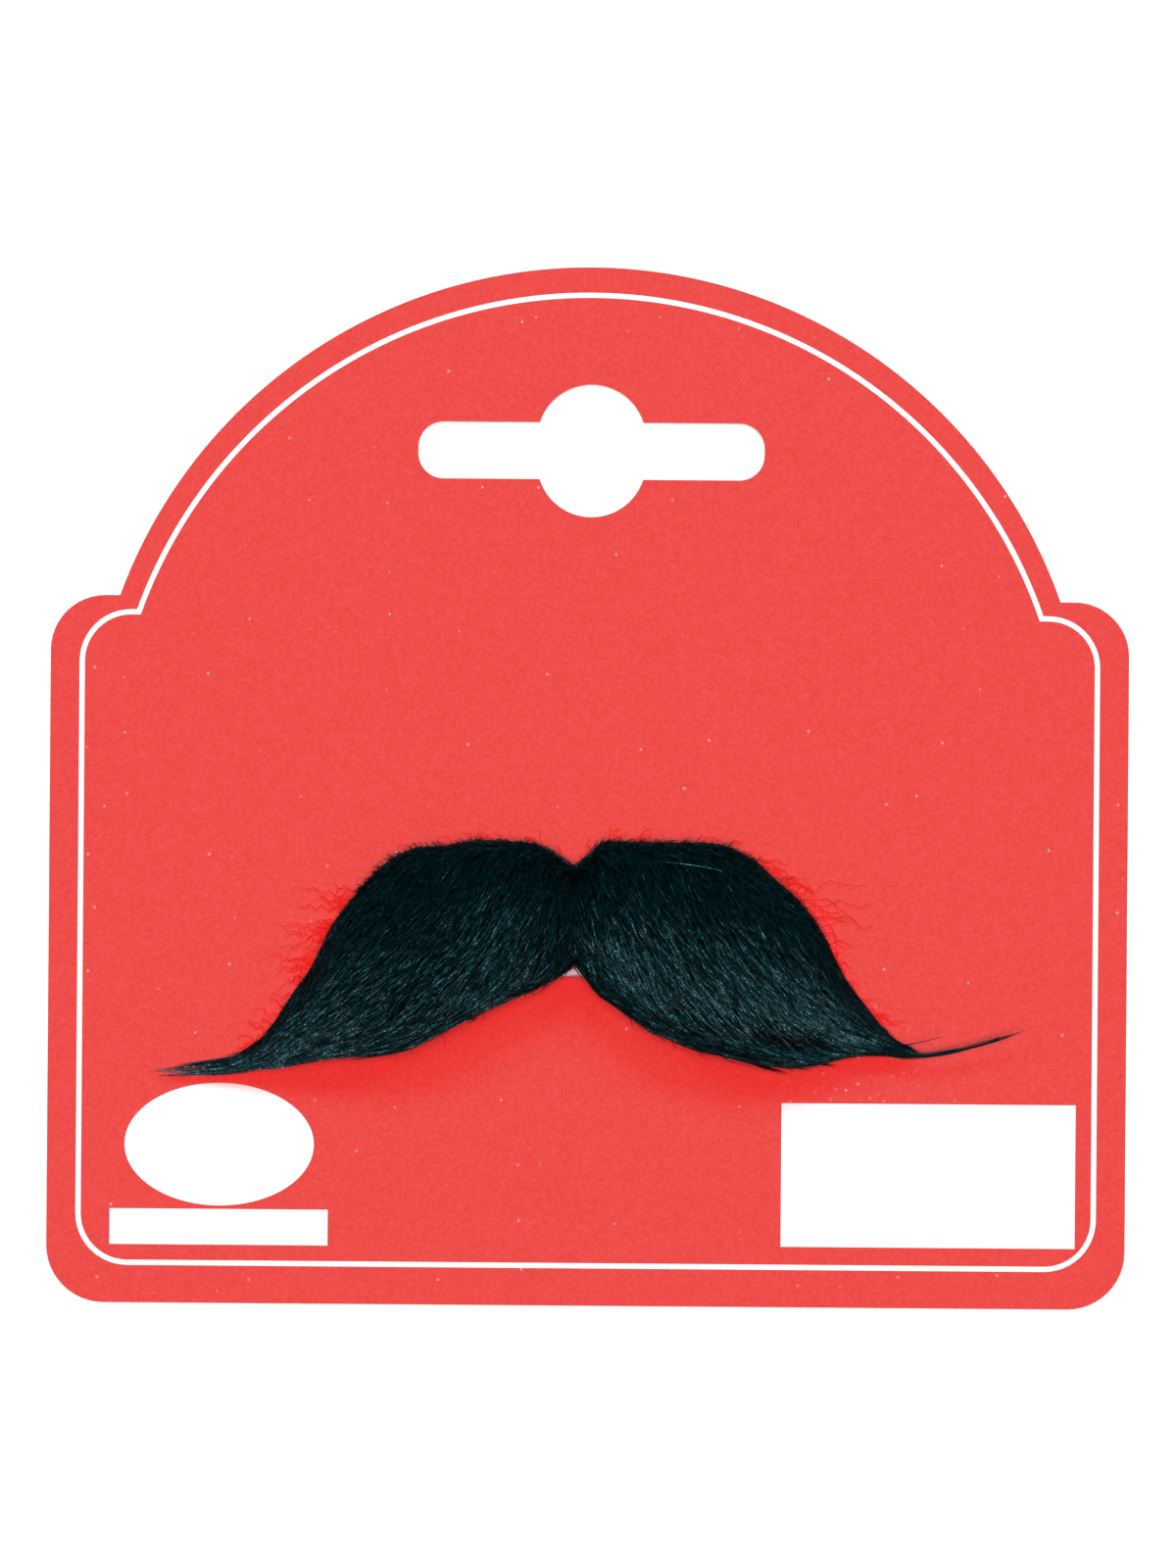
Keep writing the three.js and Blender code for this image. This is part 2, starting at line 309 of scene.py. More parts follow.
def slot_outline(mesh, z, out=0.0):
    """Draws the slot's outline at height z, with its wall moved out. Returns its edges."""
    before = set(mesh.edges)
    corner = slot_corner + out
    notch = notch_radius + out
    half_height = slot_half_height + out
    centre_x = slot_half_width - slot_corner
    centre_y = slot_half_height - slot_corner
    edge_angle = np.arcsin((half_height - notch_offset) / notch)
    sweep = np.pi - 2 * edge_angle
    reach = notch * np.cos(edge_angle)
    pen = mesh.verts.new((-centre_x, slot_y - half_height, z))
    pen = line_to(mesh, pen, -reach, slot_y - half_height)
    pen = arc_about(mesh, pen, 0, slot_y - notch_offset, sweep, 24)
    pen = line_to(mesh, pen, centre_x, slot_y - half_height)
    pen = arc_about(mesh, pen, centre_x, slot_y - centre_y, turn, 10)
    pen = line_to(mesh, pen, centre_x + corner, slot_y + centre_y)
    pen = arc_about(mesh, pen, centre_x, slot_y + centre_y, turn, 10)
    pen = line_to(mesh, pen, reach, slot_y + half_height)
    pen = arc_about(mesh, pen, 0, slot_y + notch_offset, sweep, 24)
    pen = line_to(mesh, pen, -centre_x, slot_y + half_height)
    pen = arc_about(mesh, pen, -centre_x, slot_y + centre_y, turn, 10)
    pen = line_to(mesh, pen, -centre_x - corner, slot_y - centre_y)
    arc_about(mesh, pen, -centre_x, slot_y - centre_y, turn, 10)
    return close_loop(mesh, before)


print("slot", round(2000 * slot_half_width), "mm wide")

# %% [markdown]
# ## Bare panels in the print
#
# Three white places are left out of the red print near the foot of the card: an oval over a narrow strip
# on the left, and a box on the right. They carry nothing here, so each is a plain outline too.

# %% The panels' outlines
oval_centre = (-34.0 * mm, -33.4 * mm)
oval_half = (8.77 * mm, 5.68 * mm)
strip_centre = (-34.0 * mm, -41.06 * mm)
strip_half = (10.1 * mm, 1.65 * mm)
box_centre = (31.7 * mm, -35.85 * mm)
box_half = (13.62 * mm, 6.65 * mm)


def oval_outline(mesh, z):
    """Draws the oval as a circle that is stretched about its centre."""
    before = set(mesh.edges)
    ring = bmesh.ops.create_circle(mesh, cap_ends=False, radius=1, segments=72)["verts"]
    bmesh.ops.scale(mesh, verts=ring, vec=(*oval_half, 1))
    bmesh.ops.translate(mesh, verts=ring, vec=(*oval_centre, z))
    return [e for e in mesh.edges if e not in before]


def panel_outline(mesh, z, centre, half):
    """Draws a rectangle with four straight pen strokes."""
    before = set(mesh.edges)
    corners = [(-1, -1), (1, -1), (1, 1), (-1, 1), (-1, -1)]
    places = [(centre[0] + x * half[0], centre[1] + y * half[1]) for x, y in corners]
    pen = mesh.verts.new((*places[0], z))
    for place in places[1:]:
        pen = line_to(mesh, pen, *place)
    return close_loop(mesh, before)


print("panels ready")

# %% [markdown]
# ## The printed card
#
# The print changes from red ink to bare board along clean lines, so each inked place is a face region of
# its own with its own finish. Outlines at one height are filled in pairs: whatever lies between an outer
# and an inner outline becomes one region. Bridging outlines at different heights makes the cut edge,
# with its corners broken a little, as a die leaves them.

# %% Fill the regions and cut the edges
RED, BARE, CORE, BACK = range(4)
broken_edge = 0.06 * mm
border_width = 0.48 * mm
border_inset = {"side": 2.73 * mm, "bottom": 3.5 * mm, "shoulder": 1.35 * mm, "dome": 2.4 * mm}
border_corners = {"top_corner": 4.8 * mm, "low_corner": 4.8 * mm}
border_dome_drop = 0.64 * mm


def region(mesh, edges, finish_index, up=1):
    """Fills what lies between outlines and gives it a finish. up is 1 for the front, -1 for the back."""
    filled = bmesh.ops.triangle_fill(mesh, use_beauty=True, edges=edges, normal=(0, 0, up))
    faces = [part for part in filled["geom"] if isinstance(part, bmesh.types.BMFace)]
    for face in faces:
        face.material_index = finish_index
    return faces


def cut_edge(mesh, loops):
    """Bridges a stack of outlines from the front edge to the back edge."""
    for upper, lower in zip(loops, loops[1:]):
        for face in bmesh.ops.bridge_loops(mesh, edges=upper + lower)["faces"]:
            face.material_index = CORE


card_mesh = bmesh.new()
levels = [
    (card_high.z, broken_edge),
    (card_high.z - broken_edge, 0.0),
    (card_low.z + broken_edge, 0.0),
    (card_low.z, broken_edge),
]
rims = [domed_outline(card_mesh, z, inset, inset, inset, inset) for z, inset in levels]
slots = [slot_outline(card_mesh, z, inset) for z, inset in levels]
front = card_high.z
inner_inset = {name: inset + border_width for name, inset in border_inset.items()}
inner_corners = {name: corner - border_width for name, corner in border_corners.items()}
line_outer = domed_outline(card_mesh, front, dome_drop=border_dome_drop, **border_inset, **border_corners)
line_inner = domed_outline(card_mesh, front, dome_drop=border_dome_drop, **inner_inset, **inner_corners)
panels = [
    oval_outline(card_mesh, front),
    panel_outline(card_mesh, front, strip_centre, strip_half),
    panel_outline(card_mesh, front, box_centre, box_half),
]
region(card_mesh, rims[0] + line_outer, RED)
region(card_mesh, line_outer + line_inner, BARE)
region(card_mesh, line_inner + slots[0] + sum(panels, []), RED)
for panel in panels:
    region(card_mesh, panel, BARE)
region(card_mesh, rims[-1] + slots[-1], BACK, up=-1)
cut_edge(card_mesh, rims)
cut_edge(card_mesh, slots)
bmesh.ops.recalc_face_normals(card_mesh, faces=card_mesh.faces)
open_edges = [e for e in card_mesh.edges if len(e.link_faces) != 2]
print("card faces", len(card_mesh.faces), "open edges", len(open_edges))

# %% [markdown]
# ## Ink and board
#
# The red is offset ink on white board under a thin varnish. Close up it is not even: the ink is mottled
# at the scale of the board's fibres. Dust has left tiny pale specks, most of them under the right wing,
# where the strands end. The bare board is white with a faint tooth, and the cut edge shows the fibres of
# the core. Its pink tone is partly the ink's stain and partly painted warm light, for edges that only the
# cool lamps reach.

# %% Finishes of the card
def object_place(nodes):
    """The place on the piece, in metres."""
    return nodes.new("ShaderNodeTexCoord").outputs["Object"]


speck_fade = 0.15
dust_colour = (0.8, 0.3, 0.28)
dust_centre = (24.2 * mm, -25.0 * mm)
dust_reach = 4 * mm


def specks(nodes, links, place, scale, size, rarity):
    """Scattered round specks, white on black. size is a share of the pattern's cell."""
    cells = nodes.new("ShaderNodeTexVoronoi")
    cells.voronoi_dimensions = "2D"
    cells.inputs["Scale"].default_value = scale
    links.new(place, cells.inputs["Vector"])
    spot = ramp(nodes, links, cells.outputs["Distance"], [(size / 3, (1, 1, 1)), (size, (0, 0, 0))])
    passing = [(rarity - speck_fade, (0, 0, 0)), (rarity + speck_fade, (1, 1, 1))]
    rare = ramp(nodes, links, cells.outputs["Color"], passing)
    return multiply(nodes, links, spot.outputs["Color"], rare.outputs["Color"])


def dust(nodes, links, place):
    """Specks everywhere, and more of them round the dust's centre. Returns how much dust lies there."""
    near = nodes.new("ShaderNodeVectorMath")
    near.operation = "DISTANCE"
    near.inputs[1].default_value = (*dust_centre, card_high.z)
    links.new(place, near.inputs[0])
    patch = ramp(nodes, links, near.outputs["Value"], [
        (0.95 * dust_reach, (1, 1, 1)), (dust_reach, (0, 0, 0)),
    ])
    everywhere = specks(nodes, links, place, 180, 0.03, rarity=0.65)
    dense = specks(nodes, links, place, 700, 0.14, rarity=0.4)
    gathered = multiply(nodes, links, dense, patch.outputs["Color"])
    both = nodes.new("ShaderNodeMath")
    both.operation = "ADD"
    links.new(everywhere, both.inputs[0])
    links.new(gathered, both.inputs[1])
    return both.outputs["Value"]


def red_ink():
    """Red ink with a fine mottle and pale specks of dust."""
    material, nodes, links, shader = finish("red ink", (0.74, 0.049, 0.045), 0.6, 0.15)
    place = object_place(nodes)
    mottle = noise(nodes, links, place, 3200, detail=3, roughness=0.75)
    tint = ramp(nodes, links, mottle.outputs["Fac"], [
        (0.3, (0.7, 0.034, 0.031)), (0.7, (0.775, 0.064, 0.058)),
    ])
    mix = nodes.new("ShaderNodeMix")
    mix.data_type = "RGBA"
    mix.inputs["B"].default_value = (*dust_colour, 1)
    links.new(dust(nodes, links, place), mix.inputs["Factor"])
    links.new(tint.outputs["Color"], mix.inputs["A"])
    links.new(mix.outputs["Result"], shader.inputs["Base Color"])
    tooth = noise(nodes, links, place, 2500)
    add_bump(nodes, links, shader, tooth.outputs["Fac"], 0.02 * mm, 0.25)
    return material


def board(name, dark, light, grain, bump):
    """Paper board between two tones, with the tooth of its fibres."""
    material, nodes, links, shader = finish(name, light, 0.7, 0.25)
    place = object_place(nodes)
    fibres = noise(nodes, links, place, grain, detail=4, roughness=0.65)
    tone = ramp(nodes, links, fibres.outputs["Fac"], [(0.3, dark), (0.7, light)])
    links.new(tone.outputs["Color"], shader.inputs["Base Color"])
    add_bump(nodes, links, shader, fibres.outputs["Fac"], 0.03 * mm, bump)
    return material


card_finishes = [
    red_ink(),
    board("bare board", (0.86, 0.85, 0.84), (0.91, 0.9, 0.895), 1500, 0.2),
    # The cut edge's pink is partly ink stain and partly painted warm light.
    board("cut board", (0.6, 0.42, 0.38), (0.75, 0.54, 0.5), 2600, 0.5),
    board("board back", (0.7, 0.69, 0.66), (0.78, 0.77, 0.745), 1100, 0.4),
]
print("card finishes", len(card_finishes))

# %% [markdown]
# ## From mesh to piece
#
# Every finished mesh joins the scene in the same way. It rides on the construction model's one body, and
# the model's nodes that it stands for are hidden.

# %% Add the card
def add_piece(name, mesh_data, finishes, slot, *nodes):
    """Puts a finished mesh in the scene as a piece that stands for the construction model's nodes."""
    for material in finishes:
        mesh_data.materials.append(material)
    piece = bpy.data.objects.new(name, mesh_data)
    bpy.context.scene.collection.objects.link(piece)
    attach(piece, "root")
    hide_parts(*nodes)
    print(name, len(mesh_data.polygons), "faces")


def to_data(name, mesh):
    """Turns an edit mesh into a stored one."""
    data = bpy.data.meshes.new(name)
    mesh.to_mesh(data)
    mesh.free()
    return data


card_data = to_data("printed_card", card_mesh)
add_piece("printed_card", card_data, card_finishes, "printed_card", "display_card")

# %% [markdown]
# ## The tape
#
# The moustache sticks to the card by a strip of double-sided tape. Only a sliver shows, in the notch
# under the parting. The hair shades it from the cool lamps, so its colour is tinted cool as painted light
# for the light it catches. A cube is sized to the strip, its upright edges are bevelled round, and its
# upper rim is softened, because pressed tape has no sharp edges.

# %% Model the tape
tape_corner = 0.8 * mm
tape_rim = 0.12 * mm
ripple_scale = 500
ripple_distortion = 3
tape_mesh = bmesh.new()
bmesh.ops.create_cube(tape_mesh, size=1)
bmesh.ops.scale(tape_mesh, verts=tape_mesh.verts, vec=tape_high - tape_low)
bmesh.ops.translate(tape_mesh, verts=tape_mesh.verts, vec=(tape_high + tape_low) / 2)
upright = [e for e in tape_mesh.edges if abs(e.verts[0].co.z - e.verts[1].co.z) > tape_rim]
bmesh.ops.bevel(
    tape_mesh, geom=upright, offset=tape_corner, segments=6, profile=0.5, affect="EDGES", material=-1
)
rim = [e for e in tape_mesh.edges if min(v.co.z for v in e.verts) > tape_high.z - tape_rim / 2]
bmesh.ops.bevel(tape_mesh, geom=rim, offset=tape_rim, segments=3, profile=0.5, affect="EDGES", material=-1)
for face in tape_mesh.faces:
    face.smooth = True


def tape_painted_cool_light():
    """Milky film with faint ripples across it, tinted blue-green as painted light."""
    material, nodes, links, shader = finish("milky tape", (0.33, 0.7, 0.76), 0.25, 0.6)
    place = object_place(nodes)
    ripple = nodes.new("ShaderNodeTexWave")
    ripple.bands_direction = "Y"
    ripple.inputs["Scale"].default_value = ripple_scale
    ripple.inputs["Distortion"].default_value = ripple_distortion
    links.new(place, ripple.inputs["Vector"])
    # Painted light: the blue-green tones stand in for the cool light that the hair keeps off the tape.
    tone = ramp(nodes, links, ripple.outputs["Fac"], [(0.2, (0.17, 0.4, 0.44)), (0.8, (0.36, 0.74, 0.8))])
    links.new(tone.outputs["Color"], shader.inputs["Base Color"])
    return material


add_piece("tape_strip", to_data("tape_strip", tape_mesh), [tape_painted_cool_light()], "tape", "adhesive_tape")

# %% [markdown]
# ## The lie of the hair
#
# Each half of the moustache is a wing. A place on a wing is given by two shares: how far along it lies
# from the parting to the tip, and how far up from the hair's lower edge to its upper edge. Short tables
# then say everything about a wing: its two edges, the angle at which the hair lies, how thick it is and
# how pale its strands are painted, which is painted highlight and painted shade. Smooth curves run
# through the rows.

# %% Tables of the two wings
parting_x = -1.4 * mm
hair_top = card_top - 53.05 * mm
hair_base = left_low.z
hair_depth = left_high.z - left_low.z


class Wing:
    """One half of the moustache, with its tables."""

    def __init__(self, side, length, height, ends, droop, edges, lie, depth, painted_shine_across, painted_shine_along):
        self.side = side
        self.length = length * mm
        self.height = height * mm
        self.ends = ends
        self.droop = droop * mm
        self.edges = np.array(edges)
        self.lie = np.array(lie)
        self.depth = np.array(depth)
        self.painted_shine_across = np.array(painted_shine_across)
        self.painted_shine_along = np.array(painted_shine_along)


# ends holds where along the wing its strands start to run out, how fast they do, and where the last ends.
# droop is how far the hair's underside sinks to the card towards the tip (mm).
# Columns of edges: along, upper edge, lower edge (shares of the wing's height, from its lowest point).
# Columns of lie: along, angle at the upper edge, angle at the lower edge (degrees below the level).
# Columns of depth: along, depth (share of the full depth of the hair).
# Columns of painted_shine_across: up, how pale the strands are painted. Columns of painted_shine_along:
# along, how pale they are painted. Paler is painted highlight, darker is painted shade.
left_wing = Wing(
    side=-1, length=39.6, height=22.1, ends=(0.7, 0.07, 0.99), droop=0.8,
    edges=[
        (0.0, 0.878, 0.465), (0.04, 0.937, 0.425), (0.08, 0.98, 0.38), (0.14, 0.992, 0.34),
        (0.22, 0.998, 0.265), (0.3, 0.975, 0.19), (0.38, 0.957, 0.115), (0.47, 0.844, 0.09),
        (0.515, 0.745, 0.085), (0.56, 0.628, 0.08), (0.61, 0.442, 0.065), (0.65, 0.335, 0.05),
        (0.7, 0.19, 0.035), (0.74, 0.12, 0.03), (0.79, 0.08, 0.012), (0.86, 0.06, 0.006),
        (0.955, 0.033, -0.005), (1.0, 0.015, 0.0),
    ],
    lie=[
        (0.0, 84, 66), (0.1, 72, 52), (0.25, 60, 42), (0.4, 54, 32), (0.55, 56, 26), (0.7, 50, 18),
        (0.85, 14, 10), (1.0, 7, 7),
    ],
    depth=[
        (0.0, 0.72), (0.1, 0.84), (0.25, 0.95), (0.45, 0.93), (0.6, 0.74), (0.75, 0.4), (0.87, 0.22),
        (1.0, 0.07),
    ],
    painted_shine_across=[(0.0, 1.18), (0.15, 1.14), (0.35, 1.0), (0.6, 0.8), (0.8, 0.5), (1.0, 0.5)],
    painted_shine_along=[(0.0, 0.65), (0.1, 1.0), (0.45, 1.05), (0.6, 1.4), (0.75, 1.7), (1.0, 1.6)],
)
right_wing = Wing(
    side=1, length=33.8, height=21.0, ends=(0.85, 0.05, 0.945), droop=0.5,
    edges=[
        (0.0, 0.87, 0.46), (0.04, 0.92, 0.38), (0.07, 0.983, 0.32), (0.12, 0.996, 0.265),
        (0.2, 0.995, 0.175), (0.28, 0.995, 0.115), (0.42, 0.978, 0.05), (0.5, 0.912, 0.025),
        (0.55, 0.837, 0.018), (0.61, 0.755, 0.01), (0.66, 0.655, 0.02), (0.69, 0.575, 0.03),
        (0.74, 0.395, 0.06), (0.8, 0.26, 0.072), (0.85, 0.17, 0.07), (0.905, 0.105, 0.058),
        (1.0, 0.075, 0.055),
    ],
    lie=[
        (0.0, 84, 70), (0.1, 76, 52), (0.25, 68, 46), (0.42, 62, 40), (0.58, 57, 38), (0.72, 56, 40),
        (0.85, 44, 25), (1.0, 10, 6),
    ],
    depth=[
        (0.0, 0.72), (0.1, 0.84), (0.25, 0.95), (0.45, 0.93), (0.6, 0.8), (0.75, 0.56), (0.87, 0.34),
        (1.0, 0.15),
    ],
    painted_shine_across=[(0.0, 0.85), (0.1, 1.0), (0.22, 1.45), (0.4, 1.28), (0.6, 0.95), (0.8, 0.5), (1.0, 0.45)],
    painted_shine_along=[(0.0, 0.6), (0.08, 0.95), (0.4, 1.0), (0.6, 1.18), (0.8, 1.2), (1.0, 1.2)],
)
print("wings", round(1000 * left_wing.length, 1), "and", round(1000 * right_wing.length, 1), "mm long")

# %% [markdown]
# ## Reading the tables
#
# A short table is easy to choose, but straight lines between its rows would leave corners in the
# hair. So a smooth curve is drawn through the rows, with a slope at each row taken from its neighbours.
# With it a place in millimetres turns into shares, and shares turn into a place and a height.

# %% Shares, places and heights
def smooth_curve(x, table, column):
    """Reads a table's column at every x along a smooth curve through its rows."""
    knots, values = table[:, 0], table[:, column]
    slopes = np.gradient(values, knots)
    i = np.clip(np.searchsorted(knots, x) - 1, 0, len(knots) - 2)
    width = knots[i + 1] - knots[i]
    t = np.clip((x - knots[i]) / width, 0, 1)
    start = values[i] * (1 + 2 * t) * (1 - t) ** 2 + values[i + 1] * t**2 * (3 - 2 * t)
    return start + width * (slopes[i] * t * (1 - t) ** 2 + slopes[i + 1] * t**2 * (t - 1))


def to_shares(wing, x, y):
    """The share along and the share up of places on a wing."""
    along = np.clip(wing.side * (x - parting_x) / wing.length, 0, 1)
    share = (y - hair_top) / wing.height + 1
    top, foot = smooth_curve(along, wing.edges, 1), smooth_curve(along, wing.edges, 2)
    return along, (share - foot) / np.maximum(top - foot, 0.01)


def to_place(wing, along, up):
    """The place of two shares, as x and y."""
    top, foot = smooth_curve(along, wing.edges, 1), smooth_curve(along, wing.edges, 2)
    x = parting_x + wing.side * along * wing.length
    return x, hair_top + (foot + up * (top - foot) - 1) * wing.height


# Columns: up, share of the hair's depth
depth_across = np.array([(0.0, 0.8), (0.2, 0.95), (0.5, 1.0), (0.75, 0.85), (0.92, 0.5), (1.0, 0.28)])
droop_start = 0.45
droop_length = 0.35


def hair_foot(wing, along):
    """The height of the hair's underside: level, but drooping towards the card at the tip."""
    t = np.clip((along - droop_start) / droop_length, 0, 1)
    return hair_base - wing.droop * t * t * (3 - 2 * t)


def hair_height(wing, along, up):
    """The height of the hair's surface over its underside."""
    across = smooth_curve(np.clip(up, 0, 1), depth_across, 1)
    return hair_depth * smooth_curve(along, wing.depth, 1) * across


print("hair depth", round(1000 * hair_depth, 2), "mm")

# %% [markdown]
# ## The backing
#
# Real false hair is knotted into a dark cloth. A flat grid of faces is laid over the wing by its shares
# and pushed up to about half of the hair's height, then extruded down to the hair's underside, so that no
# gap between the strands ever shows the card.

# %% Model a wing's backing
backing_share = 0.55
backing_edge = 0.05
backing_start = 0.0005
backing_reach = 0.84
rim_height = 0.35
rim_width = 0.25


def backing(wing, name):
    """A closed dark body that fills the inside of the wing."""
    mesh = bmesh.new()
    bmesh.ops.create_grid(mesh, x_segments=48, y_segments=12, size=0.5)
    for vertex in mesh.verts:
        along = backing_start + backing_reach * (vertex.co.x + 0.5)
        up = backing_edge + (1 - 2 * backing_edge) * (vertex.co.y + 0.5)
        x, y = to_place(wing, along, up)
        lift = backing_share * float(hair_height(wing, along, up))
        rim = min(vertex.co.y + 0.5, 0.5 - vertex.co.y) / rim_width
        vertex.co = (x, y, hair_foot(wing, along) + lift * min(1, rim_height + rim))
    raised = bmesh.ops.extrude_face_region(mesh, geom=mesh.faces[:])["geom"]
    for vertex in raised:
        if isinstance(vertex, bmesh.types.BMVert):
            vertex.co.z = hair_foot(wing, to_shares(wing, vertex.co.x, vertex.co.y)[0])
    bmesh.ops.recalc_face_normals(mesh, faces=mesh.faces)
    for face in mesh.faces:
        face.smooth = True
    return to_data(name, mesh)


def dark_cloth():
    """Black cloth with an uneven weave."""
    material, nodes, links, shader = finish("dark cloth", (0.006, 0.008, 0.01), 0.85, 0.2)
    place = object_place(nodes)
    weave = nodes.new("ShaderNodeTexMagic")
    weave.inputs["Scale"].default_value = 1800
    links.new(place, weave.inputs["Vector"])
    tone = ramp(nodes, links, weave.outputs["Fac"], [
        (0.2, (0.004, 0.005, 0.007)), (0.8, (0.012, 0.014, 0.017)),
    ])
    links.new(tone.outputs["Color"], shader.inputs["Base Color"])
    add_bump(nodes, links, shader, weave.outputs["Fac"], 0.05 * mm, 0.6)
    return material


cloth = dark_cloth()
add_piece("left_backing", backing(left_wing, "left_backing"), [cloth], "hair", "left_wing")
add_piece("right_backing", backing(right_wing, "right_backing"), [cloth], "hair", "right_wing")

# %% [markdown]
# ## Growing strands
#
# A strand starts at its root and follows the lie of the hair step by step, as a comb would pull it.
# Near the wing's edges and towards its tip the strands stop crossing it and run along its outline, so they
# gather to a point. Where a strand comes out past the wing's lower edge or its own reach, it is cut. All the
# strands are worked out together as arrays, because there are tens of thousands of them.

# %% Comb the strands
comb_steps = 24
ripple_angle = 5
ripple_length = 5 * mm
tip_hold_start = 0.62
tip_hold_blend = 0.2
edge_hold_start = 0.34
edge_hold_blend = 0.14
edge_hold_most = 0.92


def ripples(seed, x, y, wavelength):
    """A smooth random pattern from a few crossed waves, between about -1 and 1."""
    random = np.random.default_rng(seed)
    total = np.zeros_like(x)
    for _ in range(6):
        angle, phase = random.uniform(0, 2 * np.pi, 2)
        rate = 2 * np.pi / (wavelength * random.uniform(0.7, 1.4))
        total += np.sin(rate * (x * np.cos(angle) + y * np.sin(angle)) + phase)
    return total / 3


def outline_direction(wing, along, up):
    """The direction in which the wing's outline runs away from the parting, as x and y."""
    x, y = to_place(wing, along, up)
    ahead_x, ahead_y = to_place(wing, along + 0.01, up)
    size = np.hypot(ahead_x - x, ahead_y - y)
    return (ahead_x - x) / size, (ahead_y - y) / size


def comb(wing, along, up, length, stray, seed):
    """Follows the lie of the hair from each root. Returns x and y, a row for each strand."""
    x, y = to_place(wing, along, up)
    xs, ys = [x], [y]
    step = length / comb_steps
    for _ in range(comb_steps):
        along, up = to_shares(wing, x, y)
        across = np.clip(up, 0, 1) ** 0.7
        upper, lower = smooth_curve(along, wing.lie, 1), smooth_curve(along, wing.lie, 2)
        waver = ripple_angle * ripples(seed, x, y, ripple_length)
        angle = np.radians(lower + (upper - lower) * across + stray + waver)
        edge_x, edge_y = outline_direction(wing, along, np.clip(up, -0.1, 1.1))
        tip_hold = np.clip((along - tip_hold_start) / tip_hold_blend, 0, 1)
        edge_hold = edge_hold_most * np.clip((abs(up - 0.5) - edge_hold_start) / edge_hold_blend, 0, 1)
        hold = np.maximum(tip_hold, edge_hold)
        step_x = wing.side * np.cos(angle) * (1 - hold) + edge_x * hold
        step_y = -np.sin(angle) * (1 - hold) + edge_y * hold
        size = np.hypot(step_x, step_y)
        x, y = x + step * step_x / size, y + step * step_y / size
        xs.append(x)
        ys.append(y)
    return np.stack(xs, 1), np.stack(ys, 1)


def trim(wing, x, y, overhang, reach, rings):
    """Cuts each strand where it passes the lower edge by its overhang, or its share of the wing's length."""
    along = wing.side * (x - parting_x) / wing.length
    foot = smooth_curve(np.clip(along, 0, 1), wing.edges, 2)
    below = (hair_top + (foot - 1) * wing.height) - y > overhang[:, None]
    passed = below | (along > reach[:, None])
    last = np.where(passed.any(1), passed.argmax(1), comb_steps).astype(float)
    place = np.linspace(0, 1, rings)[None] * np.maximum(last, 3)[:, None]
    low = np.minimum(place.astype(int), comb_steps - 1)
    part = place - low
    row = np.arange(len(x))[:, None]
    trimmed_x = x[row, low] * (1 - part) + x[row, low + 1] * part
    trimmed_y = y[row, low] * (1 - part) + y[row, low + 1] * part
    return trimmed_x, trimmed_y


print("comb steps", comb_steps)

# %% [markdown]
# ## Strands as a mesh
#
# Each strand is a thin three-sided tube that tapers to a point. The tubes of one piece are joined into
# one mesh. Its map says across how pale the strand is there, with painted shade towards the root, where
# it lies deep in the coat, and along how much hair has gone by. The finish of the hair reads that map, so a
# strand keeps its colours.

# %% Build tubes from paths
sides = 3
shade_width = 1 / 64
map_length = 20 * mm
# Columns: share from root to tip, how pale the strand is there; the darker root is painted shade
painted_shade_along = np.array([(0, 0.4), (0.4, 0.6), (0.6, 1), (1, 0.85)])


